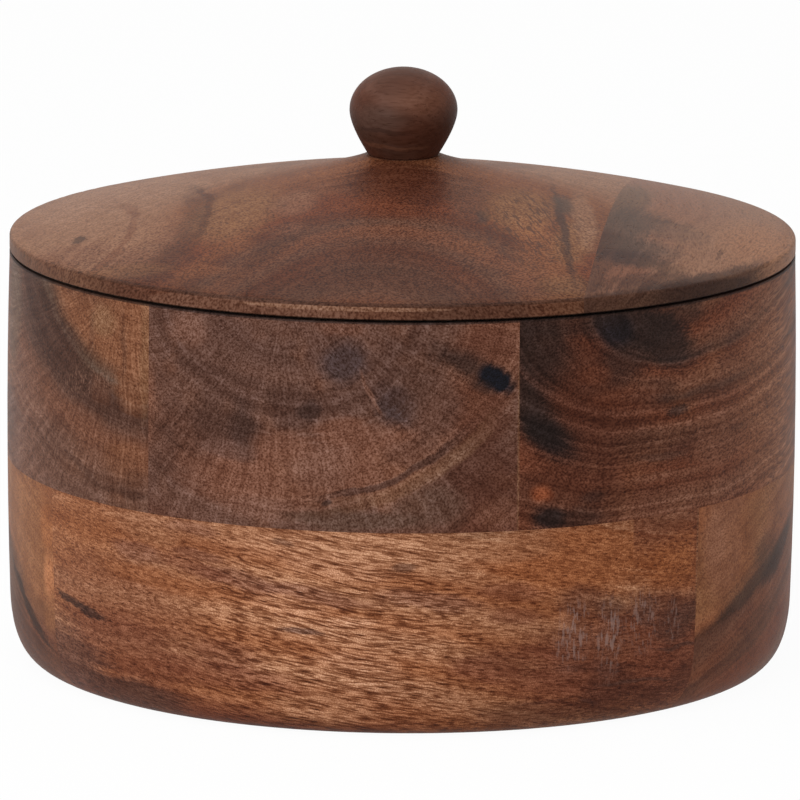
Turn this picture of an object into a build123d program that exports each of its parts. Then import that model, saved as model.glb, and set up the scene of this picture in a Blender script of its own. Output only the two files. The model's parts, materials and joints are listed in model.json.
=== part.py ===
from build123d import *
import math
import os

# Round spice box turned from glued-up hardwood, with a lift-off lid and seven steel cups.
# Millimetres, +Z up. The origin is the centre of the underside, on which the box stands.
# The planks of the upper tier and of the lid run along Y, those of the lower tier along X.

# ---- driving dimensions: turned body ----
rim_radius = 104.9  # outside, where body and lid meet
belly_swell = 0.6  # how much wider the slightly barrelled wall is at its middle
heel_draw = 0.1  # how much narrower it is where the rounded bottom edge starts
heel_height = 17.4  # height of that rounded edge
heel_inset = 9.0  # how far in from there the flat underside starts
heel_sweep = 6.2  # how far the heel's curve runs on outwards from the underside
heel_rise = 9.6  # how far it runs on downwards from the wall
lower_tier_height = 55.0
upper_tier_height = 55.0
wall = 10.0  # at the rim
floor = 14.0
floor_corner = 5.0  # round between floor and wall, inside
rim_land = 2.0  # upright stretch below the rim
edge_ease = 0.3  # small bevel on each outer arris
mouth_ease = 1.2  # round inside the mouth

# ---- driving dimensions: planks ----
plank_width = 97.3
upper_left_joint = -56.0  # x of the left glue line of the upper tier
lower_front_joint = -62.0  # y of the front glue line of the lower tier
lid_joint = 57.0  # x of the lid's glue line

# ---- driving dimensions: lid ----
lid_edge = 4.6  # the rim's upper edge above the seam
lid_round = 0.8  # soft round between the rim and the dome
lid_gap = 0.7  # height of the shadow gap between body and lid
lid_gap_depth = 5.0
crown_height = 25.6  # the knob's seat above the seam
seat_radius = 10.2  # flat under the knob
crown_slope = 0.42  # fall of the dome beside the knob
crown_reach = 16.5  # how far out that slope is felt
skirt_slope = 0.26  # fall of the dome at the rim
skirt_reach = 43.5  # how far in that slope is felt
spigot_depth = 6.0  # of the ring under the lid that drops into the mouth
spigot_width = 11.0
spigot_clearance = 0.8  # all round, between ring and mouth
lid_hollow = 2.0  # the ceiling inside the ring, above the seam
lid_hollow_corner = 4.0

# ---- driving dimensions: knob and its screw ----
neck_radius = 9.5
knob_radius = 14.4
knob_height = 23.5
knob_widest = 12.2  # above the knob's base
neck_slant = 32.0  # degrees off upright
neck_reach = 3.6  # how far up that slant is felt
knob_reach = 3.6  # how far down the upright side at the widest place is felt
knob_ease = 0.4
screw_radius = 2.0
screw_head_radius = 4.0
screw_grip = 15.0  # length of the screw inside the knob
screw_tip = 3.0
screw_clearance = 0.3  # round the shank in the lid
seat_clearance = 0.05  # round the head in the lid, and round the thread in the knob
drive_slot = 1.1  # width of the slot in the head
drive_slot_depth = 1.2

# ---- driving dimensions: cups and spoon ----
round_cups = 6
cup_gap = 1.6  # between cups, and from cup to wall
cup_height = 58.0
cup_skin = 0.8
cup_taper = 5.4  # how much less the foot's radius is than the rim's
cup_corner = 6.0
cup_bead = 1.2  # radius of the rolled rim
spoon_length = 80.0
spoon_bowl_radius = 10.0
spoon_skin = 1.6
spoon_rim_rise = 0.9  # of the bowl's rim above the handle's middle line
spoon_neck_radius = 1.8
spoon_handle_radius = 2.6
spoon_offset = -12.0  # x of the bowl's centre in the middle cup
spoon_clearance = 0.4  # from the bowl to the cup's floor and from the handle to its rim

# ---- sizes that follow ----
body_height = lower_tier_height + upper_tier_height
inner_radius = rim_radius - wall
belly_radius = rim_radius + belly_swell
heel_radius = rim_radius - heel_draw
standing_radius = heel_radius - heel_inset
upper_right_joint = upper_left_joint + plank_width
lower_back_joint = lower_front_joint + plank_width
spigot_radius = inner_radius - spigot_clearance
spigot_hollow_radius = spigot_radius - spigot_width
spigot_bottom = body_height - spigot_depth
lid_ceiling = body_height + lid_hollow
lid_top = body_height + crown_height
screw_head_height = screw_head_radius - screw_radius
cup_radius = (inner_radius - 2 * cup_gap) / 3
cup_circle = 2 * cup_radius + cup_gap
bead_circle = cup_radius - cup_bead
foot_radius = cup_radius - cup_taper
beyond = 2 * belly_radius  # past the part on any side
quarter_round = 0.5523  # a curve's reach, as a share of its radius, that makes it a quarter round


def turned(*curves):
    """The solid of revolution about Z of a closed outline, drawn as (radius, height)."""
    return revolve(Plane.XZ * make_face(Wire(Curve() + list(curves))), Axis.Z)


def slab(low, high):
    """The box between two opposite corners."""
    middle = [(a + b) / 2 for a, b in zip(low, high)]
    size = [b - a for a, b in zip(low, high)]
    return Pos(*middle) * Box(*size)


def upright(radius, bottom, top):
    """A cylinder on the Z axis between two heights."""
    return Pos(0, 0, (bottom + top) / 2) * Cylinder(radius, top - bottom)


def body_blank():
    """The hollow body as turned, before it is told apart into planks."""
    land = body_height - rim_land
    barrel = ThreePointArc(
        (heel_radius, heel_height),
        (belly_radius, (heel_height + land) / 2),
        (rim_radius, land),
    )
    rising = barrel % 0
    heel = Bezier(
        (standing_radius, 0),
        (standing_radius + heel_sweep, 0),
        (heel_radius - heel_rise * rising.X, heel_height - heel_rise * rising.Y),
        (heel_radius, heel_height),
    )
    inside = FilletPolyline(
        (rim_radius, land),
        (rim_radius, body_height - edge_ease),
        (rim_radius - edge_ease, body_height),
        (inner_radius, body_height),
        (inner_radius, floor),
        (0, floor),
        radius=[0, 0, mouth_ease, floor_corner],
    )
    underside = Polyline((0, floor), (0, 0), (standing_radius, 0))
    return turned(underside, heel, barrel, inside)


def lower_tier(blank):
    """The three planks of the lower tier, with the floor in them."""
    planks = {
        "base_plank_front": (-beyond, lower_front_joint),
        "base_plank_middle": (lower_front_joint, lower_back_joint),
        "base_plank_back": (lower_back_joint, beyond),
    }
    return {
        name: blank & slab((-beyond, near, 0), (beyond, far, lower_tier_height))
        for name, (near, far) in planks.items()
    }


def upper_tier(blank):
    """The four wall blocks of the upper tier: the hollow parts the middle plank in two."""
    low = lower_tier_height
    blocks = {
        "wall_block_left": (-beyond, upper_left_joint, -beyond, beyond),
        "wall_block_front": (upper_left_joint, upper_right_joint, -beyond, 0),
        "wall_block_back": (upper_left_joint, upper_right_joint, 0, beyond),
        "wall_block_right": (upper_right_joint, beyond, -beyond, beyond),
    }
    return {
        name: blank & slab((left, near, low), (right, far, body_height))
        for name, (left, right, near, far) in blocks.items()
    }


def lid_blank():
    """The turned lid with its locating ring, its hollow and the screw hole."""
    edge_top = body_height + lid_edge
    skirt_radius = rim_radius - lid_round
    skirt_height = edge_top + lid_round * skirt_slope
    short = lid_round * (1 - quarter_round)
    arris = Bezier(
        (rim_radius, edge_top - lid_round),
        (rim_radius, edge_top - short),
        (rim_radius - short, edge_top + short * skirt_slope),
        (skirt_radius, skirt_height),
    )
    crown = Bezier(
        (skirt_radius, skirt_height),
        (skirt_radius - skirt_reach, skirt_height + skirt_reach * skirt_slope),
        (seat_radius + crown_reach, lid_top - crown_reach * crown_slope),
        (seat_radius, lid_top),
    )
    contact_radius = rim_radius - lid_gap_depth
    gap_top = body_height + lid_gap
    underside = FilletPolyline(
        (0, lid_ceiling),
        (spigot_hollow_radius, lid_ceiling),
        (spigot_hollow_radius, spigot_bottom),
        (spigot_radius, spigot_bottom),
        (spigot_radius, body_height),
        (contact_radius, body_height),
        (contact_radius, gap_top),
        (rim_radius - edge_ease, gap_top),
        (rim_radius, gap_top + edge_ease),
        (rim_radius, edge_top - lid_round),
        radius=[lid_hollow_corner, mouth_ease, mouth_ease, 0, 0, 0, 0, 0],
    )
    seat = Polyline((seat_radius, lid_top), (0, lid_top), (0, lid_ceiling))
    hole = upright(screw_radius + screw_clearance, lid_ceiling, lid_top)
    return turned(underside, arris, crown, seat) - hole - screw_head(seat_clearance)


def lid_planks():
    """The two planks of the lid."""
    blank = lid_blank()
    low = spigot_bottom
    return {
        "lid_plank_main": blank & slab((-beyond, -beyond, low), (lid_joint, beyond, lid_top)),
        "lid_plank_side": blank & slab((lid_joint, -beyond, low), (beyond, beyond, lid_top)),
    }


def lid_knob():
    """The turned knob, with the hole for the screw in its base."""
    widest = lid_top + knob_widest
    top = lid_top + knob_height
    slant = math.radians(neck_slant)
    base = Polyline((0, lid_top), (neck_radius - knob_ease, lid_top), (neck_radius, lid_top + knob_ease))
    side = Bezier(
        (neck_radius, lid_top + knob_ease),
        (neck_radius + neck_reach * math.sin(slant), lid_top + knob_ease + neck_reach * math.cos(slant)),
        (knob_radius, widest - knob_reach),
        (knob_radius, widest),
    )
    crown = Bezier(
        (knob_radius, widest),
        (knob_radius, widest + quarter_round * (knob_height - knob_widest)),
        (quarter_round * knob_radius, top),
        (0, top),
    )
    axis = Line((0, top), (0, lid_top))
    hole = upright(screw_radius + seat_clearance, lid_top, lid_top + screw_grip + seat_clearance)
    return turned(base, side, crown, axis) - hole


def screw_head(clearance):
    """The countersunk head of the knob's screw, grown all round by a clearance."""
    middle = lid_ceiling + screw_head_height / 2
    return Pos(0, 0, middle) * Cone(
        screw_head_radius + clearance, screw_radius + clearance, screw_head_height
    )


def knob_screw():
    """The countersunk wood screw that holds the knob from below; a plain shank stands for the thread."""
    shank_top = lid_top + screw_grip - screw_tip
    shank = upright(screw_radius, lid_ceiling + screw_head_height, shank_top)
    tip = Pos(0, 0, shank_top + screw_tip / 2) * Cone(screw_radius, screw_radius / 4, screw_tip)
    slot = slab(
        (-beyond, -drive_slot / 2, lid_ceiling),
        (beyond, drive_slot / 2, lid_ceiling + drive_slot_depth),
    )
    return screw_head(0) + shank + tip - slot


def cup():
    """One steel cup standing on the box's floor at the axis, with a rolled rim."""
    bead_height = cup_height - cup_bead
    half = cup_skin / 2
    outside = FilletPolyline(
        (0, 0), (foot_radius, 0), (bead_circle + half, bead_height), radius=[cup_corner]
    )
    lip = Line((bead_circle + half, bead_height), (bead_circle - half, bead_height))
    inside = FilletPolyline(
        (bead_circle - half, bead_height),
        (foot_radius - cup_skin, cup_skin),
        (0, cup_skin),
        radius=[cup_corner - cup_skin],
    )
    axis = Line((0, cup_skin), (0, 0))
    bead = Pos(0, 0, bead_height) * Torus(bead_circle, cup_bead)
    return Pos(0, 0, floor) * (turned(outside, lip, inside, axis) + bead)


def cups():
    """The middle cup and the ring of cups round it; the first stands half a step past +X."""
    one = cup()
    step = 360 / round_cups
    found = {"spice_cup_centre": one}
    for index in range(round_cups):
        place = Rot(0, 0, step * (index + 0.5)) * Pos(cup_circle, 0, 0)
        found[f"spice_cup_{index + 1}"] = place * one
    return found


def spice_spoon():
    """The turned spoon, its bowl on the middle cup's floor and its handle leaning over the rim."""
    bowl_height = floor + cup_skin + spoon_clearance + spoon_bowl_radius
    across = bead_circle - spoon_offset
    up = floor + cup_height - cup_bead - bowl_height
    passing = cup_bead + spoon_clearance + spoon_handle_radius
    lean = math.atan2(across, up) - math.asin(passing / math.hypot(across, up))
    bowl = Sphere(spoon_bowl_radius) - Sphere(spoon_bowl_radius - spoon_skin)
    open_side = slab((-beyond, -beyond, -beyond), (-spoon_rim_rise, beyond, beyond))
    root = spoon_bowl_radius - spoon_skin / 2
    end = spoon_length - spoon_bowl_radius
    handle = turned(
        Polyline((0, end), (0, root), (spoon_neck_radius, root)),
        Line((spoon_neck_radius, root), (spoon_handle_radius, end - spoon_handle_radius)),
        RadiusArc(
            (spoon_handle_radius, end - spoon_handle_radius), (0, end), -spoon_handle_radius
        ),
    )
    place = Pos(spoon_offset, 0, bowl_height) * Rot(0, math.degrees(lean), 0)
    return place * ((bowl - open_side) + handle)


blank = body_blank()
pieces = {
    **lower_tier(blank),
    **upper_tier(blank),
    **lid_planks(),
    "lid_knob": lid_knob(),
    "knob_screw": knob_screw(),
    **cups(),
    "spice_spoon": spice_spoon(),
}

os.makedirs("parts", exist_ok=True)
for name, piece in pieces.items():
    export_step(piece, f"parts/{name}.step")
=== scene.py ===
"""Looks of a round wooden spice box: turned acacia body and lift-off lid, steel cups and a spoon.

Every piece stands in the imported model's own frame, in metres. Finishes are worked out in
millimetres, because a grain, a pore and a stain have real sizes.
"""

from __future__ import annotations

import json
import logging
import math
from collections.abc import Mapping
from dataclasses import dataclass, replace
from enum import Enum
from typing import Any

import bmesh  # noqa: E402
import bpy  # noqa: E402
from mathutils import Euler, Matrix, Quaternion, Vector  # noqa: E402

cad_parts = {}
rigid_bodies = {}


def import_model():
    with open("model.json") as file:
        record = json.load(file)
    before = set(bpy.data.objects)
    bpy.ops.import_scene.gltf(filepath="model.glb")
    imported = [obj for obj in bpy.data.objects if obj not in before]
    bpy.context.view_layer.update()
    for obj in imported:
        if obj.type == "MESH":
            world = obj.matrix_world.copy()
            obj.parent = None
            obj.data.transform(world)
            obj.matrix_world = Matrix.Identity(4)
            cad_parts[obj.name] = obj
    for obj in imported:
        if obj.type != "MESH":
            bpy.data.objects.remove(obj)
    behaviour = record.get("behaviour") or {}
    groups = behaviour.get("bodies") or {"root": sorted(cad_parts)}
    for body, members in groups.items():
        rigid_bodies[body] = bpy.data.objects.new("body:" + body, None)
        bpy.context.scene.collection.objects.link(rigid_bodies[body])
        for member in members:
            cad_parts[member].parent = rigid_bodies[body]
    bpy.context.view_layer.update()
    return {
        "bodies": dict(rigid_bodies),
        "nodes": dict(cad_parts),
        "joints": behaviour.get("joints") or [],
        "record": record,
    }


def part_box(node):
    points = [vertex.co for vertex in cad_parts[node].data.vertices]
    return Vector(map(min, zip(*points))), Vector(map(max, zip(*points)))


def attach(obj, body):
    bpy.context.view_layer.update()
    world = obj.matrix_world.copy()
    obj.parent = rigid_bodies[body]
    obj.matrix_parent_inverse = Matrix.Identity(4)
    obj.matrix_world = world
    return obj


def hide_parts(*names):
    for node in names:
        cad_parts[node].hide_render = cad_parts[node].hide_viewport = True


LOG = logging.getLogger("spice_box")

MM = 1000.0  # millimetres in a metre
WALL_RADIUS = 105.4  # mm, of the body's outside, a mean of its slight barrel
WALL_DEPTH = 9.0  # mm, how far a mark on the front goes into the wall
LID_MIDDLE = (120.0, 60.0)  # mm, height of a mark on the lid, and half its thickness
FAR = 4000.0  # mm, a half size that takes an axis out of a distance
METAL_RELIEF = 0.00002  # m, depth of a brush line and of a cloud in the plating

Point = tuple[float, float, float]  # a place, a size or a turn, along or about X, Y and Z
Socket = bpy.types.NodeSocket
Sockets = Mapping[int | str, Any]
Objects = Mapping[str, bpy.types.Object]


class Tone(Enum):
    """Colours of oiled acacia, of its marks and of painted shade and highlights, as sRGB hex."""

    KNOT = "#15141A"
    INK = "#201817"
    SOOT = "#2C1E1A"
    COAL = "#38251F"
    SLATE = "#463431"
    UMBER = "#4C3127"
    WINE = "#4E2A1D"
    ASH = "#5A4A43"
    OLIVE = "#5A4337"
    COCOA = "#5A3D32"
    BRICK = "#5B3425"
    WALNUT = "#664639"
    RUSSET = "#6A3B28"
    MAUVE = "#6D4D41"
    MOSS = "#6B5648"
    BROWN = "#744B39"
    ROSE = "#7B5545"
    COPPER = "#81543C"
    EMBER = "#8C4B2E"
    OCHRE = "#8A5636"
    AMBER = "#8E5430"
    TAN = "#886248"
    CLAY = "#8B6655"
    HAZE = "#93705D"
    PINK = "#9C7A69"
    HONEY = "#98694A"
    SAND = "#AC7C5C"
    LILAC = "#8F746C"


# Short names for the tables of boards, in the order above.
(
    KNOT, INK, SOOT, COAL, SLATE, UMBER, WINE, ASH, OLIVE, COCOA, BRICK, WALNUT, RUSSET, MAUVE,
    MOSS, BROWN, ROSE, COPPER, EMBER, OCHRE, AMBER, TAN, CLAY, HAZE, PINK, HONEY, SAND, LILAC,
) = Tone


def linear(hex_colour: str) -> tuple[float, float, float, float]:
    """The linear RGBA of an sRGB hex colour.

    Args:
        hex_colour: Six hex digits after a hash.

    Returns:
        Red, green, blue and an alpha of one.
    """
    channels = [int(hex_colour[i : i + 2], 16) / 255 for i in (1, 3, 5)]
    red, green, blue = (
        c / 12.92 if c <= 0.04045 else ((c + 0.055) / 1.055) ** 2.4 for c in channels
    )
    return red, green, blue, 1.0


def radians(degrees: Point) -> Point:
    """A turn in degrees about each axis, in radians."""
    return tuple(math.radians(angle) for angle in degrees)


class Graph:
    """The node tree of a material or of the world, built from nothing."""

    def __init__(self, owner: bpy.types.Material | bpy.types.World) -> None:
        """Clears the owner's nodes."""
        owner.use_nodes = True
        self.tree = owner.node_tree
        self.tree.nodes.clear()

    def add(self, kind: str, sockets: Sockets | None = None, **settings: Any) -> bpy.types.Node:
        """Adds a shader node with its settings and its inputs.

        Args:
            kind: The node's type after "ShaderNode".
            sockets: Input names or numbers, each with a value or the output that feeds it.
            **settings: The node's own properties.

        Returns:
            The new node.
        """
        node = self.tree.nodes.new("ShaderNode" + kind)
        for name, value in settings.items():
            setattr(node, name, value)
        for key, value in (sockets or {}).items():
            if isinstance(value, Socket):
                self.tree.links.new(value, node.inputs[key])
            else:
                node.inputs[key].default_value = value
        return node

    def out(self, kind: str, sockets: Sockets, **settings: Any) -> Socket:
        """Adds a node and gives its first output."""
        return self.add(kind, sockets, **settings).outputs[0]

    def math(self, operation: str, *values: Any) -> Socket:
        """Works out numbers with one of the Math node's operations."""
        return self.out("Math", dict(enumerate(values)), operation=operation)

    def fit(self, value: Socket, times: Any, plus: Any) -> Socket:
        """A number times another, plus a third."""
        return self.math("MULTIPLY_ADD", value, times, plus)

    def vector(self, operation: str, *values: Any) -> Socket:
        """Works out vectors with one of the Vector Math node's operations."""
        return self.out("VectorMath", dict(enumerate(values)), operation=operation)

    def length(self, vector: Socket) -> Socket:
        """How long a vector is."""
        return self.add("VectorMath", {0: vector}, operation="LENGTH").outputs["Value"]

    def fade(self, value: Socket, low: float, high: float, most: float = 1.0) -> Socket:
        """Nought at low, the most at high, and a smooth step between them."""
        ends = {"Value": value, "From Min": low, "From Max": high, "To Max": most}
        return self.out("MapRange", ends, interpolation_type="SMOOTHSTEP")

    def lay(self, under: Any, cover: Socket, tone: str) -> Socket:
        """A colour with a tone laid over it where cover is one."""
        sockets = {0: cover, 6: under, 7: linear(tone)}
        return self.add("Mix", sockets, data_type="RGBA").outputs[2]

    def metal(self, colour: Any, rough: Socket, relief: Socket, strength: float) -> None:
        """Ends a material as bare metal with a shallow relief."""
        bump = self.out("Bump", {"Strength": strength, "Distance": METAL_RELIEF, "Height": relief})
        look = {"Base Color": colour, "Metallic": 1.0, "Roughness": rough, "Normal": bump}
        self.add("OutputMaterial", {"Surface": self.out("BsdfPrincipled", look)})


# ---- marks in the wood, and painted shade and highlights on it


@dataclass(frozen=True)
class Mark:
    """A stain, knot or streak in a board, or painted shade or a painted highlight on it: a
    soft-edged ellipsoid of another tone.

    Sizes are half sizes in millimetres along the mark's own axes, out to where it is half
    faded, and turn is in degrees. A ring half-width makes it a shell instead: only what lies
    that near its surface is covered.
    """

    centre: Point
    size: Point
    tone: Tone
    strength: float = 0.8
    edge: float = 0.8  # width of its soft edge, as a share of the half size
    fray: float = 0.16  # how much the fibres break its edge up
    follow: float = 0.25  # how much the growth lines draw its edge out
    turn: Point = (0, 0, 0)
    ring: float = 0
    only: Mark | None = None  # it shows only where this one would
    straight: bool = False  # True for a glue line and for painted shade or highlight along an edge: the figure doesn't bend it


def wall(
    x: float, z: float, long: float, high: float, tone: Tone, strength: float = 0.6,
    tilt: float = 0, **more: Any,
) -> Mark:
    """A mark on the front of the body, facing outwards.

    Args:
        x: Where it is across, in millimetres.
        z: Its height.
        long: Half its length.
        high: Half its height.
        tone: Its colour.
        strength: How much of that colour shows.
        tilt: Degrees by which its right end rises.
        **more: Other fields of Mark.

    Returns:
        The mark.
    """
    around = math.asin(x / WALL_RADIUS)
    centre = (x, -WALL_RADIUS * math.cos(around), z)
    turn = (0, -tilt, math.degrees(around))
    return Mark(centre, (long, WALL_DEPTH, high), tone, strength, turn=turn, **more)


def dome(
    x: float, y: float, wide: float, deep: float, tone: Tone, strength: float = 0.6,
    spin: float = 0, **more: Any,
) -> Mark:
    """A mark right through the lid.

    Args:
        x: Where it is across, in millimetres.
        y: Where it is from front to back.
        wide: Half its size across.
        deep: Half its size from front to back.
        tone: Its colour.
        strength: How much of that colour shows.
        spin: Degrees by which it is turned, seen from above.
        **more: Other fields of Mark.

    Returns:
        The mark.
    """
    middle, half = LID_MIDDLE
    return Mark((x, y, middle), (wide, deep, half), tone, strength, turn=(0, 0, spin), **more)


def layer(z: float, half: float, tone: Tone, strength: float, **more: Any) -> Mark:
    """A mark of a half thickness that reaches all round the box at one height."""
    return Mark((0, 0, z), (FAR, FAR, half), tone, strength, **more)


@dataclass(frozen=True)
class Scuff:
    """A patch of fine scratches or cracks over the wood."""

    where: Mark
    scratch: Point  # mm, the size of one scratch along X, Y and Z
    bare: float = 0.60  # noise level about which a scratch shows
    turn: Point = (0, 0, 0)  # degrees, of the scratches


# ---- boards


class Lengthwise(Enum):
    """The axis that a board's fibres follow, as the turn that brings it onto Y."""

    X = (0, 0, 90)
    Y = (0, 0, 0)
    Z = (-90, 0, 0)


@dataclass(frozen=True)
class Board:
    """One acacia board: how it was sawn, its growth rings and what marks it.

    The pith is a line along the fibres. Distances from it are divided by oval across and up,
    so that rings are wider than high where oval's first number is the larger one.
    """

    name: str
    pith: Point  # mm
    rings: tuple[tuple[float, Tone], ...]  # mm from the pith, and the tone there
    lengthwise: Lengthwise = Lengthwise.Y
    marks: tuple[Mark, ...] = ()
    scuffs: tuple[Scuff, ...] = ()
    oval: tuple[float, float] = (1, 1)
    slope: Point = (0, 0, 0)  # degrees by which the fibres lean off their axis
    stain: Tone = COCOA  # cloudy darker heartwood
    glow: Tone = COPPER  # cloudy warmer heartwood
    clouds: float = 0.5  # how much of both there is
    oil: Point = (0.88, 0.82, 0.76)  # how much red, green and blue its oil lets back
    fibre: Point = (0.5, 9.0, 0.5)  # mm, a fibre bundle: across, along and deep
    pore: Point = (0.55, 5.0, 0.55)  # mm, drawn twice as wide as real, so that it shows
    bend: float = 4.0  # mm, how far the grain's slow bends go
    speckle: float = 2.6  # contrast of the fibres
    bold: Mark | None = None  # where they stand out more, by its strength
    pores: float = 0.45  # how dark the pores are
    figure: float = 0.9  # contrast of the growth lines
    rays: float = 1.1  # contrast of the rays across the rings
    bands: float = 0.5  # contrast of the broad streaks
    grit: float = 0.0  # contrast of the finest specks
    seed: float = 0.0

    def marked(self, *marks: Mark) -> Board:
        """The same board with marks on it, the last of them uppermost."""
        return replace(self, marks=marks)


class OiledAcacia:
    """Solid acacia, turned, sanded and oiled: a low satin sheen with open pores.

    The figure is solid, so it runs through an edge as it does in a real board: dots of pores
    on end grain are the ends of the dashes along the fibres.
    """

    BEND_LENGTH = 40.0  # mm, of the slow bends in the grain
    RIPPLE_LENGTH = 8.0  # mm, of the small bends in the rings and marks
    RIPPLE = 1.9  # mm
    GROWTH_LINE = 2.2  # mm between fine growth lines
    RAY = (0.020, 0.004, 11.0)  # radians between rays, FARs along the board, mm outwards
    BAND = (3.2, 60.0, 3.2)  # mm, of the broad streaks
    STAIN_CLOUD = (26.0, 88.4, 26.0)  # mm, of the cloudy darker heartwood
    GLOW_CLOUD = (15.6, 57.2, 15.6)  # mm, of the cloudy warmer heartwood
    STAIN_MOST = 0.9  # how much of the darker tone shows in the middle of a full cloud
    GLOW_MOST = 0.8  # and of the warmer one
    GRIT = (0.3, 0.3, 0.3)  # mm, of the finest specks
    CLOUDED = (0.5, 0.7)  # noise levels at which a cloud begins and is at its most
    OPEN_PORE = (0.58, 0.70)  # noise levels at which a pore begins and is fully open
    MIDDLE = 0.49  # noise level of a fibre that is neither dark nor pale
    PALEST = 0.58  # noise level above which fibres grow no paler
    SCRATCH_EDGE = 0.06  # half the range of noise over which a scratch fades in
    GREYING = (0.80, 1.07, 1.28)  # pale fibres are greyer than dark ones: red, green, blue
    FIBRE_RANGE = (0.3, 0.7)  # noise levels of the darkest and the palest fibres
    ROUGHNESS = (0.45, 0.58)  # of the darkest and of the palest
    IOR = 1.47
    IOR_LEVEL = 0.08
    SHEEN = 0.02  # the nap that sanding leaves, pale where the light grazes it
    SHEEN_ROUGHNESS = 0.30
    PORE_DEPTH = 0.00014  # m
    RELIEF = 0.5  # how much of it the light finds

    def __init__(self, board: Board) -> None:
        """Makes the board's material."""
        self.board = board
        self.material = bpy.data.materials.new("oiled_acacia_" + board.name)
        self.graph = Graph(self.material)
        self._place()
        colour = self._heartwood()
        for mark in board.marks:
            colour = self.graph.lay(colour, self._cover(mark), mark.tone.value)
        colour = self._grained(colour)
        for scuff in board.scuffs:
            colour = self._scuffed(colour, scuff)
        self._surface(colour)

    def _bent(self, vector: Socket, length: float, amount: float, detail: float) -> Socket:
        """Coordinates pushed about by smooth noise.

        Args:
            vector: Millimetre coordinates.
            length: The size of a bend.
            amount: How far it goes.
            detail: How many octaves.

        Returns:
            The bent coordinates.
        """
        sockets = {"Vector": vector, "W": self.board.seed, "Scale": 1 / length, "Detail": detail}
        cloud = self.graph.add("TexNoise", sockets, noise_dimensions="4D").outputs["Color"]
        centred = self.graph.vector("SUBTRACT", cloud, (0.5, 0.5, 0.5))
        return self.graph.vector("MULTIPLY_ADD", centred, (2 * amount,) * 3, vector)

    def _place(self) -> None:
        """Lays out the coordinates: plain millimetres, rippled for marks, and the board's own."""
        graph, board = self.graph, self.board
        place = graph.add("TexCoord").outputs["Object"]
        self.straight = graph.out("Mapping", {"Vector": place, "Scale": (MM, MM, MM)})
        self.rippled = self._bent(self.straight, self.RIPPLE_LENGTH, self.RIPPLE, detail=3.0)
        swaying = self._bent(self.straight, self.BEND_LENGTH, board.bend, detail=1.0)
        turned = Euler(radians(board.lengthwise.value)).to_matrix()
        leaning = Euler(radians(board.slope)).to_matrix()
        self.turn = (leaning @ turned).to_euler()
        self.grain = graph.out("Mapping", {"Vector": swaying, "Rotation": self.turn})
        self.figure = self._bent(self.grain, self.RIPPLE_LENGTH, self.RIPPLE / 2, detail=2.0)

    def _noise(self, vector: Socket, cell: Point, detail: float, rough: float = 0.5) -> Socket:
        """Noise whose cells have a size in millimetres along each axis.

        Args:
            vector: Millimetre coordinates.
            cell: The size of a cell.
            detail: How many octaves.
            rough: How strong the finer octaves are.

        Returns:
            The noise, about 0.5.
        """
        scaled = self.graph.out("Mapping", {"Vector": vector, "Scale": [1 / c for c in cell]})
        grain = {"Scale": 1.0, "Detail": detail, "Roughness": rough}
        sockets = {"Vector": scaled, "W": self.board.seed, **grain}
        return self.graph.out("TexNoise", sockets, noise_dimensions="4D")

    def _heartwood(self) -> Socket:
        """The board's colour from its growth rings and clouds, before marks and fibres."""
        graph, board = self.graph, self.board
        pith = Vector(board.pith)
        pith.rotate(self.turn)
        across, up = board.oval
        frame = {"Vector": self.figure, "Location": pith, "Scale": (across, FAR, up)}
        self.around = graph.out("Mapping", frame, vector_type="TEXTURE")
        self.distance = graph.length(self.around)
        line = graph.math("MULTIPLY", self.distance, 1 / self.GROWTH_LINE)
        fine = {"W": line, "Scale": 1.0, "Detail": 2.0, "Roughness": 0.6}
        self.growth = graph.out("TexNoise", fine, noise_dimensions="1D")
        reach = board.rings[-1][0]
        ramp = graph.add("ValToRGB", {0: graph.math("DIVIDE", self.distance, reach)})
        ramp.color_ramp.interpolation = "EASE"
        stops = ramp.color_ramp.elements
        for index, (distance, tone) in enumerate(board.rings):
            stop = stops[index] if index < 2 else stops.new(distance / reach)
            stop.position = distance / reach
            stop.color = linear(tone.value)
        colour = ramp.outputs[0]
        for tone, most, cell in (
            (board.stain, self.STAIN_MOST * board.clouds, self.STAIN_CLOUD),
            (board.glow, self.GLOW_MOST * board.clouds, self.GLOW_CLOUD),
        ):
            cloud = self._noise(self.grain, cell, detail=3.0, rough=0.55)
            cover = graph.fade(cloud, *self.CLOUDED, most)
            colour = graph.lay(colour, cover, tone.value)
        self.fibres = self._noise(self.grain, board.fibre, detail=1.0)
        return colour

    def _cover(self, mark: Mark) -> Socket:
        """How much of a mark shows at each place: nought outside it, its strength inside."""
        graph = self.graph
        place = self.straight if mark.straight else self.rippled
        ball = graph.add("TexGradient", {"Vector": place}, gradient_type="SPHERICAL")
        # One at the mark's centre, a half at its half size and nought from twice that on. A
        # texture's own mapping keeps a board with many marks inside the renderer's memory.
        mapping = ball.texture_mapping
        mapping.vector_type = "TEXTURE"
        mapping.translation = mark.centre
        mapping.rotation = radians(mark.turn)
        mapping.scale = [2 * half for half in mark.size]
        reach = graph.fit(ball.outputs["Fac"], -2.0, 2.0)
        if mark.ring:
            off = graph.math("ABSOLUTE", graph.math("SUBTRACT", reach, 1.0))
            reach = graph.math("MULTIPLY", off, min(mark.size) / mark.ring)
        for signal, amount in ((self.fibres, mark.fray), (self.growth, mark.follow)):
            if amount:
                broken = graph.math("SUBTRACT", signal, 0.5)
                reach = graph.fit(broken, 2 * amount, reach)
        cover = graph.fade(reach, 1 + mark.edge / 2, 1 - mark.edge / 2, mark.strength)
        if mark.only:
            cover = graph.math("MULTIPLY", cover, self._cover(mark.only))
        return cover

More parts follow.
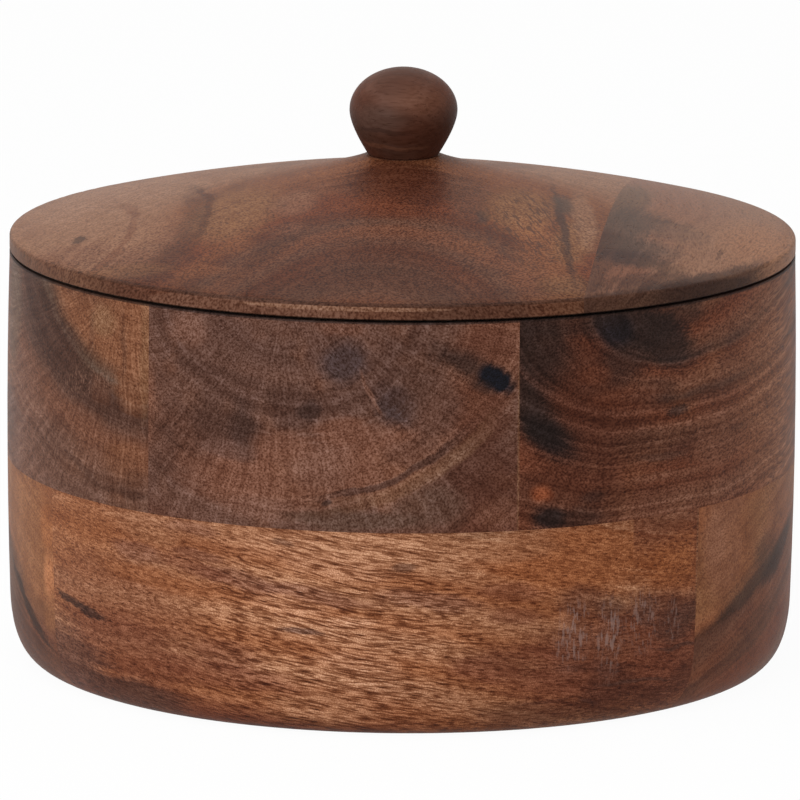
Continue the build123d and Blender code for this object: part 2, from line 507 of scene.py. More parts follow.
    def _grained(self, colour: Socket) -> Socket:
        """The colour with growth lines, rays, streaks, fibres and pores laid over it.

        Each is a power of e, so that dark and light lines are as strong as each other.

        Args:
            colour: The heartwood and its marks.

        Returns:
            The colour as the eye sees it close to.
        """
        graph, board = self.graph, self.board
        split = graph.add("SeparateXYZ", {0: self.around}).outputs
        angle = graph.math("ARCTAN2", split["X"], split["Z"])
        wheel = graph.out("CombineXYZ", {"X": angle, "Y": split["Y"], "Z": self.distance})
        rays = self._noise(wheel, self.RAY, detail=2.0, rough=0.6)
        bands = self._noise(self.grain, self.BAND, detail=2.0)
        pores = self._noise(self.grain, board.pore, detail=1.0)
        self.pores = graph.fade(pores, *self.OPEN_PORE)
        loud: Any = board.speckle
        if board.bold:
            loud = graph.fit(self._cover(board.bold), loud, loud)
        fibres = graph.math("MINIMUM", self.fibres, self.PALEST)
        fibres = graph.math("SUBTRACT", fibres, self.MIDDLE)
        signals = [(self.growth, board.figure), (rays, board.rays), (bands, board.bands)]
        if board.grit:
            specks = self._noise(self.grain, self.GRIT, detail=0.0)
            signals.append((specks, board.grit))
        start = -sum(contrast for _, contrast in signals) / 2
        power = graph.fit(self.pores, -board.pores, start)
        for signal, contrast in signals:
            power = graph.fit(signal, contrast, power)
        power = graph.fit(fibres, loud, power)
        level = graph.add("CombineXYZ")
        for axis, share in zip("XYZ", self.GREYING):
            part = graph.math("EXPONENT", graph.math("MULTIPLY", power, share))
            graph.tree.links.new(part, level.inputs[axis])
        oiled = graph.vector("MULTIPLY", colour, board.oil)
        return graph.vector("MULTIPLY", oiled, level.outputs[0])

    def _scuffed(self, colour: Socket, scuff: Scuff) -> Socket:
        """The colour with a patch of scratches over it."""
        graph, turned, soft = self.graph, self.straight, self.SCRATCH_EDGE
        if any(scuff.turn):
            turned = graph.out("Mapping", {"Vector": turned, "Rotation": radians(scuff.turn)})
        scratch = self._noise(turned, scuff.scratch, detail=2.0, rough=0.55)
        bare = graph.fade(scratch, scuff.bare - soft, scuff.bare + soft)
        cover = graph.math("MULTIPLY", bare, self._cover(scuff.where))
        return graph.lay(colour, cover, scuff.where.tone.value)

    def _surface(self, colour: Socket) -> None:
        """Ends the material: sheen, roughness and the shallow relief of the pores."""
        graph, (low, high) = self.graph, self.ROUGHNESS
        dark, pale = self.FIBRE_RANGE
        fibres = {"Value": self.fibres, "From Min": dark, "From Max": pale}
        rough = graph.out("MapRange", {**fibres, "To Min": low, "To Max": high})
        height = graph.fit(self.fibres, 0.5, 0.5)
        height = graph.math("SUBTRACT", height, self.pores)
        relief = {"Strength": self.RELIEF, "Distance": self.PORE_DEPTH, "Height": height}
        look = {
            "Base Color": colour,
            "Roughness": rough,
            "IOR": self.IOR,
            "Specular IOR Level": self.IOR_LEVEL,
            "Sheen Weight": self.SHEEN,
            "Sheen Roughness": self.SHEEN_ROUGHNESS,
            "Normal": graph.out("Bump", relief),
        }
        graph.add("OutputMaterial", {"Surface": graph.out("BsdfPrincipled", look)})

    def dress(self, piece: bpy.types.Object) -> None:
        """Gives a piece this material in every slot."""
        for slot in piece.material_slots:
            slot.material = self.material


# ---- steel


@dataclass(frozen=True)
class SpunSteel:
    """Stainless steel spun on a lathe and brushed round: fine rings and a soft shine."""

    name: str = "spun_stainless_steel"
    colour: str = "#C9C6C1"
    shade: float = 0.16  # how much the brush's lines darken and lighten it
    roughness: float = 0.24
    smear: float = 0.16  # how much smears change the roughness
    smear_length: float = 12.5  # mm
    ring: float = 0.5  # mm between the brush's lines
    relief: float = 0.25

    def material(self, centre: Vector) -> bpy.types.Material:
        """Makes the finish, its lines running round an upright axis.

        Args:
            centre: A point on the axis, in millimetres.

        Returns:
            The material.
        """
        made = bpy.data.materials.new(self.name)
        graph = Graph(made)
        place = graph.add("TexCoord").outputs["Object"]
        middle = {"Location": (-centre.x, -centre.y, 0.0), "Scale": (MM, MM, MM)}
        local = graph.out("Mapping", {"Vector": place, **middle})
        split = graph.add("SeparateXYZ", {0: local}).outputs
        flat = graph.out("CombineXYZ", {"X": split["X"], "Y": split["Y"]})
        across = graph.math("SUBTRACT", graph.length(flat), split["Z"])
        brush = {"W": across, "Scale": 1 / self.ring, "Detail": 3.0}
        lines = graph.out("TexNoise", brush, noise_dimensions="1D")
        cloth = {"Vector": local, "Scale": 1 / self.smear_length, "Detail": 3.0}
        smears = graph.out("TexNoise", cloth)
        dull = self.roughness - self.smear / 2
        rough = graph.fit(smears, self.smear, dull)
        tint = graph.fit(lines, self.shade, 1 - self.shade / 2)
        steel = {0: linear(self.colour)[:3], "Scale": tint}
        colour = graph.out("VectorMath", steel, operation="SCALE")
        graph.metal(colour, rough, lines, self.relief)
        return made


@dataclass(frozen=True)
class ZincPlate:
    """Bright zinc plating with its faint blue and yellow passivation clouds."""

    name: str = "zinc_plated_steel"
    bright: str = "#B9BCC0"
    yellowed: str = "#B8AE96"
    yellow: float = 0.7  # how much of the yellow shows in a cloud
    roughness: float = 0.32
    dull: float = 0.2  # how much the clouds change the roughness
    cloud: float = 1.6  # mm
    clouded: tuple[float, float] = (0.4, 0.65)  # noise levels of its edge and of its middle
    relief: float = 0.2

    def dress(self, piece: bpy.types.Object) -> None:
        """Gives the piece its plating."""
        made = bpy.data.materials.new(self.name)
        graph = Graph(made)
        place = graph.add("TexCoord").outputs["Object"]
        size = {"Vector": place, "Scale": MM / self.cloud, "Detail": 3.0}
        clouds = graph.out("TexNoise", size)
        cover = graph.fade(clouds, *self.clouded, self.yellow)
        colour = graph.lay(linear(self.bright), cover, self.yellowed)
        bright = self.roughness - self.dull / 2
        rough = graph.fit(clouds, self.dull, bright)
        graph.metal(colour, rough, clouds, self.relief)
        piece.data.materials.clear()
        piece.data.materials.append(made)


# ---- studio


@dataclass(frozen=True)
class Lamp:
    """A square softbox."""

    name: str
    place: Point  # m
    aim: Point  # m
    side: float  # m
    watts: float


@dataclass(frozen=True)
class Studio:
    """A pale sweep of floor, even white surroundings, two softboxes and a long lens."""

    surround: float = 0.55
    floor_side: float = 30.0
    floor_gap: float = 0.0001  # m, so that the floor and the box's base share no plane
    floor_tone: str = "#F0EFED"
    paper: float = 0.96  # how much of the floor is plain white, and the rest takes the shadow
    lamps: tuple[Lamp, ...] = (
        Lamp("top_softbox", (-0.35, -0.5, 1.7), (0.0, 0.0, 0.08), 1.1, 13.0),
        Lamp("front_softbox", (-1.0, -1.9, 0.9), (0.0, 0.0, 0.08), 0.9, 16.0),
    )
    eye: Point = (0.2865, -2.5545, 0.5873)  # m
    aim: Point = (-0.0004, 0.0, 0.0688)
    lens: float = 440.46  # mm
    sensor: float = 36.0  # mm
    roll: float = 0.40  # degrees clockwise
    clip: tuple[float, float] = (0.05, 60.0)  # m

    def build(self) -> None:
        """Makes the floor, the surroundings, the lamps and the camera."""
        self._surroundings()
        self._floor()
        for lamp in self.lamps:
            light = bpy.data.lights.new(lamp.name, "AREA")
            light.size = lamp.side
            light.energy = lamp.watts
            stand = self._put(lamp.name, light)
            stand.location = lamp.place
            stand.rotation_euler = self._sight(lamp.place, lamp.aim).to_euler()
        self._camera()
        LOG.info("studio: %d lamps", len(self.lamps))

    def _put(self, name: str, data: bpy.types.ID) -> bpy.types.Object:
        """A new object in the scene."""
        thing = bpy.data.objects.new(name, data)
        bpy.context.scene.collection.objects.link(thing)
        return thing

    def _sight(self, eye: Point, aim: Point) -> Quaternion:
        """The turn with which a lamp or a camera at eye looks towards aim."""
        return (Vector(aim) - Vector(eye)).to_track_quat("-Z", "Y")

    def _seen(self, graph: Graph) -> Socket:
        """One where the camera, a metal or a glass looks, nought for the light on the box."""
        path = graph.add("LightPath").outputs
        seen = path["Is Camera Ray"]
        for ray in ("Is Glossy Ray", "Is Transmission Ray"):
            seen = graph.math("MAXIMUM", seen, path[ray])
        return seen

    def _surroundings(self) -> None:
        """White where the camera, metal or glass sees it, and an even soft light elsewhere."""
        world = bpy.data.worlds.new("studio_surroundings")
        bpy.context.scene.world = world
        graph = Graph(world)
        light = {"Value": self._seen(graph), "To Min": self.surround, "To Max": 1.0}
        white = {"Color": (1.0, 1.0, 1.0, 1.0), "Strength": graph.out("MapRange", light)}
        graph.add("OutputWorld", {"Surface": graph.out("Background", white)})

    def _floor(self) -> None:
        """A pale floor that the camera sees as white paper, with the box's soft shadow."""
        mesh = bpy.data.meshes.new("floor")
        half, low = self.floor_side / 2, -self.floor_gap
        corners = [(-half, -half, low), (half, -half, low), (half, half, low), (-half, half, low)]
        mesh.from_pydata(corners, [], [(0, 1, 2, 3)])
        floor = self._put("floor", mesh)
        paper = bpy.data.materials.new("matt_white_paper")
        graph = Graph(paper)
        matt = graph.out("BsdfDiffuse", {"Color": linear(self.floor_tone)})
        lit = graph.out("Emission", {"Strength": 1.0})
        share = graph.math("MULTIPLY", self._seen(graph), self.paper)
        both = graph.out("MixShader", {0: share, 1: matt, 2: lit})
        graph.add("OutputMaterial", {"Surface": both})
        mesh.materials.append(paper)

    def _camera(self) -> None:
        """A long lens, a little above the lid."""
        data = bpy.data.cameras.new("camera")
        data.lens = self.lens
        data.sensor_width = self.sensor
        data.clip_start, data.clip_end = self.clip
        camera = self._put("camera", data)
        camera.location = self.eye
        camera.rotation_mode = "QUATERNION"
        roll = Quaternion((0, 0, 1), math.radians(self.roll))
        camera.rotation_quaternion = self._sight(self.eye, self.aim) @ roll
        bpy.context.scene.camera = camera
        bpy.context.scene.view_settings.view_transform = "Standard"


# ---- boards of this box

# Painted shade and highlights that follow a turned edge are sharp, and the figure doesn't bend
# them.
RIM: dict[str, Any] = {"edge": 0.2, "fray": 0, "follow": 0, "straight": True}
# Painted shade along the seam: near-black bands on the body's top edge and on the lid's lower
# edge, which thicken the dark gap between them.
SEAM_PAINTED_SHADE = layer(110, 0.4, SOOT, 0.8, straight=True, fray=0, follow=0)
LID_SHADOW = layer(110.6, 0.4, SOOT, 0.8, **RIM)
# Painted shade: a dark line along the top of the lid's rim, over its front.
RIM_FRONT = dome(0, -110, 92, 70, COAL, 1, edge=0.5)
RIM_PAINTED_SHADE = layer(114.5, 0.4, COAL, 0.55, only=RIM_FRONT, **RIM)
# Painted shade: a darker ring on the lid's top just inside its edge, over the front.
EDGE_FRONT = dome(-5, -100, 92, 54, UMBER, 1, edge=0.6)
LID_EDGE_PAINTED_SHADE = dome(0, 0, 101.5, 101.5, UMBER, 0.35, ring=4.6, edge=1.2, only=EDGE_FRONT)

LEFT_BLOCK = Board(
    name="left_block",
    pith=(-60, -80, 118),
    rings=(
        (0, COPPER), (24, COPPER), (30, OLIVE), (35, UMBER), (40, COCOA), (47, BROWN),
        (54, ROSE), (62, MAUVE), (80, ROSE), (130, WALNUT),
    ),
    scuffs=(
        Scuff(wall(-75, 87, 5.5, 4.6, CLAY, 0.4), (0.6, 0.6, 1), 0.57),
        Scuff(wall(-68.5, 88.3, 4, 3.2, CLAY, 0.35), (0.6, 0.6, 1), 0.57),
        Scuff(wall(-80, 83.5, 5.5, 3.8, CLAY, 0.35), (0.6, 0.6, 1.4), 0.57),
    ),
    oil=(0.82, 0.78, 0.73),
    rays=2,
    speckle=3,
    seed=1,
).marked(
    wall(-100, 98, 9, 16, MOSS),
    wall(-89, 99.5, 13, 7.5, UMBER, 0.75, tilt=-38),
    wall(-81, 91, 9, 8, UMBER, 0.85, tilt=-38),
    wall(-72, 83.5, 13, 4.6, UMBER, 0.75, tilt=-18),
    wall(-95, 80, 12, 8, ROSE, 0.75),
    wall(-78.5, 75, 13, 4.6, BROWN),
    wall(-62.3, 67.4, 8, 5.6, COPPER, 0.65),
    wall(-90, 64, 18, 7.5, ROSE),
    wall(-75, 62.8, 10, 1.2, UMBER, tilt=-22),
    wall(-62, 59.5, 8, 1.2, UMBER, 0.5, tilt=-4),
    wall(-60.5, 88, 6.5, 6.5, COPPER, 0.8),
    wall(-80, 62, 26, 8, WALNUT, 0.4, edge=1.3),
    wall(-59, 61, 6, 5, UMBER, 0.4),
    wall(-70, 85, 4, 4, BROWN, 0.35),
    wall(-84, 69, 12, 6, COCOA, 0.4),
    wall(-70, 61.5, 9, 3, COCOA, 0.4),
    wall(-57.2, 97, 1.8, 14, TAN, edge=1.2),
    wall(-69.7, 103.5, 5, 4, TAN, 0.7),
    wall(-63.5, 98, 1, 8, UMBER, 0.4, edge=1.4),
    wall(-73, 99, 1, 6, UMBER, 0.35, edge=1.4),
    wall(-84, 96, 11, 5, UMBER, tilt=-45, edge=1.2),
    SEAM_PAINTED_SHADE,
)

FRONT_BLOCK = Board(
    name="front_block",
    pith=(-18, -100, 118),
    oval=(1.12, 1),
    rings=(
        (0, COCOA), (10, WALNUT), (18, COCOA), (24, WALNUT), (31, COCOA), (38, WALNUT),
        (45, BROWN), (53, BROWN), (62, WALNUT), (78, BRICK), (130, COCOA),
    ),
    oil=(0.88, 0.86, 0.86),
    rays=1.7,
    speckle=3.9,
    seed=2,
).marked(
    wall(-45, 105, 6, 4, ROSE, 0.5),
    wall(-35, 103, 6, 7, COCOA),
    wall(-19.5, 107, 4.5, 4, COCOA),
    wall(-52, 73, 5, 6.5, UMBER, 0.55),
    wall(-51, 88.5, 4.5, 5, COCOA),
    wall(-4, 108.6, 6, 2.2, BROWN, 0.5),
    wall(-47, 65.6, 9, 3.2, COCOA, 0.5),
    wall(-37, 94.5, 15, 1.6, UMBER, 0.5, tilt=-10),
    wall(-42.6, 79.6, 16, 6.4, UMBER, 0.7, tilt=-6),
    wall(-30, 80.1, 4, 7.5, COAL, 0.65, tilt=6, edge=1),
    wall(-38, 82.4, 6, 6.5, UMBER, edge=1),
    wall(-45.5, 71, 9, 4, UMBER, 0.4),
    wall(-31, 66.4, 16, 5.4, BROWN),
    wall(-34, 74.6, 8, 2.4, MAUVE),
    wall(-25, 60, 10, 3.4, ROSE, 0.7),
    wall(-10, 73, 9, 7, ROSE, 0.7),
    wall(-3, 99.4, 6.6, 5.2, SLATE, 0.95, tilt=25),
    wall(10.6, 88.6, 4.8, 5.8, SLATE, 0.95, tilt=35),
    wall(14, 97, 10, 9, UMBER, 0.4),
    wall(-17, 87.4, 7.6, 5.4, UMBER, 0.7),
    wall(-12.2, 86.6, 3, 2.8, COAL, 0.7),
    wall(4, 91.5, 5.6, 0.6, ROSE, tilt=-62),
    wall(-2.5, 81.2, 8, 4, BROWN, 0.85),
    wall(-19.6, 77, 8, 4, BROWN, 0.7),
    wall(33.5, 104, 8, 5, BRICK, 0.75),
    wall(31, 87, 9, 9, BRICK, 0.75),
    wall(19.5, 88, 7.5, 9, COCOA, 0.7),
    wall(15, 76, 8, 4, COCOA, 0.4),
    wall(31.9, 71, 9.6, 9.5, WINE),
    wall(19.4, 61.6, 9, 6, OLIVE, 0.45),
    wall(-1, 58.3, 17, 2.6, OLIVE),
    wall(36.5, 59.5, 6, 4, BROWN, 0.5),
    Mark(
        (-18, -100, 118), (61, FAR, 54.8), UMBER, 0.85, ring=0.8, fray=0.3, follow=0,
        only=wall(12, 69, 24, 14, UMBER, 1, edge=1),
    ),
    Mark(
        (-18, -100, 118), (64.6, FAR, 57.8), TAN, 0.35, ring=1.8, follow=0,
        only=wall(18, 70, 24, 15, TAN, 1, edge=1.2),
    ),
    wall(27.6, 99.4, 7.4, 3.3, SOOT, 0.8, tilt=-27, edge=1.3),
    wall(35.6, 95.2, 5.1, 3.3, KNOT, 1, tilt=-30, edge=0.6, fray=0.1),
    wall(32.4, 93.2, 3.6, 1.6, SOOT, tilt=-27, edge=1.2),
    wall(-7.4, 62.4, 1.5, 0.9, COAL, 0.8),
    wall(41.2, 74, 0.2, 24, TAN, 0.4, straight=True, fray=0.6),
    SEAM_PAINTED_SHADE,
)

RIGHT_BLOCK = Board(
    name="right_block",
    pith=(85, -70, 112),
    oval=(1.6, 1),
    slope=(-5, 0, 0),
    rings=(
        (0, UMBER), (9, RUSSET), (12.5, BROWN), (16, UMBER), (18.5, RUSSET), (24, BROWN),
        (26.4, UMBER), (28.5, BRICK), (31.5, RUSSET), (36, BROWN), (40, BRICK),
        (47, RUSSET), (54, BROWN), (60, RUSSET), (110, BRICK),
    ),
    oil=(0.91, 0.85, 0.8),
    figure=1.7,
    speckle=4.3,
    seed=3,
).marked(
    wall(56, 90, 16, 18, WINE, 0.9),
    wall(64, 78, 14, 8, WINE),
    wall(50, 63, 14, 10, WINE, 0.75),
    Mark(
        (71, -80, 104), (32, FAR, 32), SOOT, 0.9, ring=4.2, edge=1.2,
        only=wall(46, 84, 10, 22, SOOT, 1, edge=1.2),
    ),
    wall(46.4, 102.4, 8.4, 10, SOOT, 0.85, edge=1.1),
    wall(45, 88, 7, 7, SOOT, 0.4, edge=1.1),
    wall(68, 98, 8, 7, COAL, 0.75, edge=1.1),
    wall(75, 88.2, 8, 3.2, UMBER),
    wall(92, 92.4, 5, 2.2, BRICK),
    wall(67.5, 82, 6, 3, BRICK, 0.25),
    wall(48, 79.4, 8.5, 4, INK, 0.85, tilt=-38, edge=1.1),
    wall(70, 105.5, 15, 6, SOOT, 0.95, tilt=-12, edge=0.8),
    wall(77, 101, 11, 6.6, SOOT, 0.9, tilt=-30, edge=0.8),
    wall(64.5, 105.8, 6.5, 4.6, KNOT, 0.7, tilt=-14),
    # Painted shade below the seam: dark bands that thicken the seam's dark line.
    wall(53, 108.4, 15, 3.6, SOOT, 0.65),
    wall(81.5, 107.8, 7, 3.6, SOOT),
    wall(68, 87.4, 11, 3.2, RUSSET, 0.5),
    wall(60, 94.6, 5, 3, RUSSET, 0.4),
    wall(89, 77, 8, 11, BROWN, 0.35, edge=1.3),
    wall(80.2, 82.1, 4, 1.4, COAL, 0.8, fray=0.3),
    wall(94.7, 74.1, 6, 0.9, UMBER),
    wall(76, 70.8, 9, 1.1, UMBER),
    wall(76, 75.4, 14, 4, UMBER, 0.35),
    wall(78, 65.1, 16, 1.4, BROWN),
    wall(90, 70, 11, 5, BROWN),
    wall(63, 62, 6, 9, WINE, 0.75),
    wall(71, 60, 5, 6, BRICK, 0.45),
    wall(102, 80, 20, 32, COPPER, 0.85, edge=1.2),
    wall(104, 60, 14, 8, COPPER, 0.5, edge=1.2),
    wall(60, 62.1, 3.7, 1.6, COAL, 0.55, edge=1.2),
    wall(47.2, 64.1, 2.6, 2, EMBER, 0.75, edge=1.2, fray=0.3),
    wall(49.2, 57.4, 5, 3.4, INK, 0.9, edge=1),
    wall(56, 57, 8, 3, SOOT, edge=1),
    wall(76, 56, 15, 1, BROWN),
    wall(74, 60, 9, 3, BRICK, 0.4),
    wall(41.4, 74, 0.2, 24, TAN, 0.4, straight=True, fray=0.6),
    SEAM_PAINTED_SHADE,
)

FRONT_PLANK = Board(
    name="front_plank",
    lengthwise=Lengthwise.X,
    pith=(0, -60, 160),
    slope=(8.5, 0, 0),
    rings=(
        (0, COPPER), (106, TAN), (112, HONEY), (118, HONEY), (123, OCHRE), (128, HONEY),
        (134, OCHRE), (138, HONEY), (144, OCHRE), (150, HONEY), (156, OCHRE), (166, RUSSET),
        (190, BRICK),
    ),
    scuffs=(
        Scuff(wall(55.4, 26.4, 4.6, 8, LILAC, 0.55), (0.8, 0.8, 3.4), 0.56),
        Scuff(wall(64.4, 24.6, 3.8, 9.5, LILAC), (0.8, 0.8, 3.4), 0.55),
        Scuff(wall(72.4, 27.5, 5, 8, LILAC, 0.45), (0.6, 0.6, 3), 0.56),
        Scuff(wall(79.6, 26, 2.6, 5, LILAC, 0.4), (0.6, 0.6, 3), 0.57),
    ),
    stain=BROWN,
    glow=HONEY,
    oil=(0.94, 0.87, 0.87),
    clouds=0.35,
    bend=1.6,
    fibre=(1.2, 4.6, 0.46),
    pore=(0.7, 3, 0.5),
    speckle=3.2,
    grit=1.7,
    bold=wall(-4, 24, 48, 32, SAND, 1.1, edge=1.2),
    pores=0.7,
    bands=1,
    rays=0.3,
    seed=4,
).marked(
    wall(-76, 46, 18, 12, OCHRE, 0.7),
    wall(-70, 30, 24, 12, COPPER),
    wall(-55.3, 37.8, 18, 2.6, OCHRE, 0.8, tilt=-6),
    wall(-55, 49.2, 8, 2.4, HONEY, 0.75, tilt=-4),
    wall(-44, 52.6, 8, 1.8, BROWN, tilt=-4),
    wall(-59, 44, 9, 2.4, BROWN, 0.65, tilt=-8),
    wall(-42, 45.6, 8, 1.4, BROWN, tilt=-6),
    wall(-32, 40.8, 13, 2.4, BROWN, 0.65, tilt=-8),
    wall(-18, 34.8, 11, 2.2, SAND, 0.45, tilt=-6),
    wall(-36, 14.6, 22, 3.4, RUSSET, 0.55, tilt=-4),
    wall(-35, 20, 10, 4.4, RUSSET, 0.55, tilt=-8),
    wall(-64, 17.6, 25, 9, RUSSET, 0.65, tilt=-8),
    wall(-84, 10, 22, 10, COCOA, 0.75),
    wall(-62, 4.6, 20, 5, UMBER, 0.8),
    wall(-43, 42.4, 12, 2, RUSSET, tilt=-11, fray=0.4),
    wall(-11, 38, 17, 2, BROWN, tilt=-7, fray=0.4),
    wall(19, 37, 14, 2.4, BROWN, tilt=-8, fray=0.4),
    wall(45, 22.2, 14, 1.8, RUSSET, 0.5, tilt=-8, fray=0.4),
    wall(-4, 45.4, 14, 3, SAND, tilt=-4),
    wall(-6, 50.5, 34, 4.4, SAND, 0.3, tilt=-3),
    wall(4, 27, 24, 5, SAND, 0.2, tilt=-6),
    wall(-1, 31.7, 6.5, 1.3, SAND),
    wall(-9, 6.8, 14, 5, HONEY, 0.7),
    wall(1, 20.2, 10, 3, SAND, tilt=-8),
    wall(56, 46, 28, 10, AMBER, 0.85),
    wall(82, 42, 16, 10, AMBER, 0.95),
    wall(39, 50.4, 13, 3.4, HONEY),
    wall(40, 38.8, 9, 2.4, RUSSET, 0.55, tilt=-6),
    wall(41, 32.2, 7, 2.4, RUSSET, 0.55, tilt=-6),
    wall(44, 5, 15, 4.4, WINE),
    wall(34, 18.8, 10, 4, RUSSET, 0.75),
    wall(64, 18, 28, 13, RUSSET, 0.8),
    wall(82, 12, 18, 12, RUSSET, 0.85),
    wall(52, 14, 20, 4, RUSSET, 0.5),
    Mark(
        (110, -70, 48), (40.2, FAR, FAR), RUSSET, 0.65, edge=0.02, fray=0, follow=0,
        only=layer(62, 15, RUSSET, 1, edge=0.6), straight=True,
    ),
    wall(80, 23, 16, 12, RUSSET, edge=1),
    wall(87, 45, 5, 12, RUSSET, 0.5),
    wall(84, 27.2, 8, 2.6, UMBER, 0.7, tilt=-4),
    wall(65, 11.5, 8, 5, WINE, 0.7),
    wall(84, 10, 7, 4, WINE),
    wall(80, 25, 7, 5, UMBER),
    wall(76.3, 30.2, 18, 4, BRICK, 0.65, tilt=-4, edge=1.5),
    wall(73, 29.5, 3, 4, WALNUT, 0.5),
    wall(64.4, 32.8, 5, 2.6, UMBER, 0.5),
    wall(57.5, 35.5, 7, 4, BRICK, 0.65),
    wall(-79.5, 26.8, 6.5, 1.1, SOOT, 0.75, tilt=-10, fray=0.5),
    wall(-73.5, 25.2, 6, 1.3, SOOT, 0.75, tilt=-8, fray=0.5),
    wall(-14.1, 28.2, 5.5, 0.9, SLATE, tilt=-4, fray=0.5),
    wall(-19.2, 51.6, 3.4, 0.8, UMBER, 0.5, fray=0.5),
    wall(13.1, 46, 3.2, 1.2, UMBER, fray=0.4),
    wall(62.1, 16.4, 12, 1.3, WINE, tilt=-6),
    wall(81.4, 18.8, 8, 0.6, UMBER, 0.7, tilt=-2),
    wall(71.9, 11.4, 12, 0.6, UMBER, 0.7, tilt=-4),
    wall(60.5, 7.4, 3.4, 0.8, COAL, 0.85, tilt=-18),
    wall(50, 9, 9, 0.5, WINE, tilt=3),
    wall(68, 6.2, 20, 4.2, WINE, 0.7),
    wall(55.4, 25, 4.6, 8, WALNUT, 0.3, edge=1.2),
    wall(64.2, 23, 4, 9, WALNUT, 0.3, edge=1.2),
    # Painted highlight: a thin pale line along the joint at the plank's right end.
    Mark((85.3, -62.1, 44), (2, 0.4, 14), TAN, 0.5, straight=True, fray=0.6),
    # Darker towards the bottom edge: partly the wood's own tone, partly painted shade where the
    # heel curves under.
    layer(-6, 8.6, BRICK, 0.45, edge=0.9),
)

MIDDLE_PLANK = Board(
    name="middle_plank",
    lengthwise=Lengthwise.X,
    pith=(0, 126, -412),
    rings=(
        (0, BROWN), (440, WALNUT), (452, BROWN), (458.6, WALNUT), (459.6, UMBER),
        (460.8, BROWN), (466, WALNUT), (469.2, COCOA), (470.6, SOOT), (471, SOOT),
        (471.8, COPPER), (478, TAN), (490, TAN), (500, COPPER), (520, BROWN),
    ),
    oil=(0.99, 0.79, 0.63),
    stain=BROWN,
    glow=HONEY,
    clouds=0.3,
    speckle=2.6,
    figure=0.8,
    seed=5,
).marked(
    Mark((-96, -50, 40), (16, 22, 22), TAN, 0.9),
    Mark((-87.2, -59.2, 44), (4, 4, 6.5), HONEY, 0.9),
    Mark((-86.5, -60.2, 31), (4, 3, 6), SAND, 0.95),
    Mark((-86, -60, 20), (5, 4, 4), TAN, 0.7),
    Mark((-100, -26, 22), (14, 18, 12), OLIVE, 0.75),
    Mark((-94, -56, 6), (16, 18, 8), COCOA, 0.8),
    Mark((-102, -38, 12), (14, 22, 10), UMBER, 0.6),
    Mark((-94, -46, 19.6), (16, 19, 1.6), SOOT, 0.8, turn=(32, 0, 0)),
    Mark((94, -52, 42), (12, 13, 11), COPPER, 0.6),
    Mark((89, -56, 45), (5, 5, 7), CLAY, 0.6),
    Mark((101, -30, 37), (6, 8, 5), OLIVE, 0.7),
    Mark((91, -53, 42), (8, 9, 13), CLAY, 0.55),
    Mark((91, -52, 53), (9, 9, 5), CLAY, 0.6),
    Mark((104, -16, 44), (10, 16, 12), BROWN, 0.6),
    Mark((104, -20, 35), (9, 16, 3.6), SOOT, 0.75, turn=(24, 0, 0)),
    Mark((98, -34, 14), (14, 30, 11), RUSSET, 0.55, turn=(22, 0, 0)),
    Mark((98, -34, 18), (14, 26, 5), OLIVE, 0.5, turn=(22, 0, 0)),
    Mark((98, -38, 30), (14, 19, 2.2), SOOT, 0.75, turn=(22, 0, 0)),
    Mark((98, -38, 31.8), (14, 19, 3.4), OLIVE, 0.5, turn=(22, 0, 0)),
)

BACK_PLANK = Board(
    name="back_plank",
    lengthwise=Lengthwise.X,
    pith=(0, 150, 120),
    slope=(-3, 0, 0),
    rings=(
        (0, COPPER), (60, TAN), (80, COPPER), (96, BROWN), (104, TAN), (120, COPPER),
        (160, BROWN),
    ),
    oil=(0.97, 0.9, 0.84),
    stain=COCOA,
    glow=HONEY,
    clouds=0.8,
    fibre=(1.2, 9, 0.4),
    pore=(0.7, 4.5, 0.5),
    speckle=4,
    pores=0.8,
    bands=1.2,
    rays=0.3,
    seed=6,
).marked(
    Mark((30, 100, 30), (22, 14, 2.2), UMBER, 0.6, fray=0.4),
    Mark((-46, 92, 18), (14, 14, 1.6), RUSSET, 0.7, fray=0.4),
    Mark((-20, 103, 44), (3.4, 9, 2), COAL, 0.8),
    # Darker towards the bottom edge, as on the front plank: partly painted shade where the heel
    # curves under.
    layer(-6, 9, BRICK, 0.6, edge=0.9),
)

BACK_BLOCK = Board(
    name="back_block",
    pith=(-10, 100, 20),
    oval=(1.3, 1),
    rings=(
        (0, COCOA), (30, WALNUT), (44, UMBER), (52, BROWN), (64, WALNUT), (72, COCOA),
        (84, BROWN), (130, COCOA),
    ),
    clouds=0.8,
    speckle=3.8,
    seed=7,
).marked(
    Mark((26, 100, 88), (5, 9, 3.2), INK, 0.95, turn=(0, 20, 0), edge=0.5),
    Mark((20, 101, 90), (8, 9, 4), COAL, 0.6, turn=(0, 20, 0)),
    Mark((-46, 93, 76), (11, 9, 7), SLATE, 0.6),
    SEAM_PAINTED_SHADE,
)

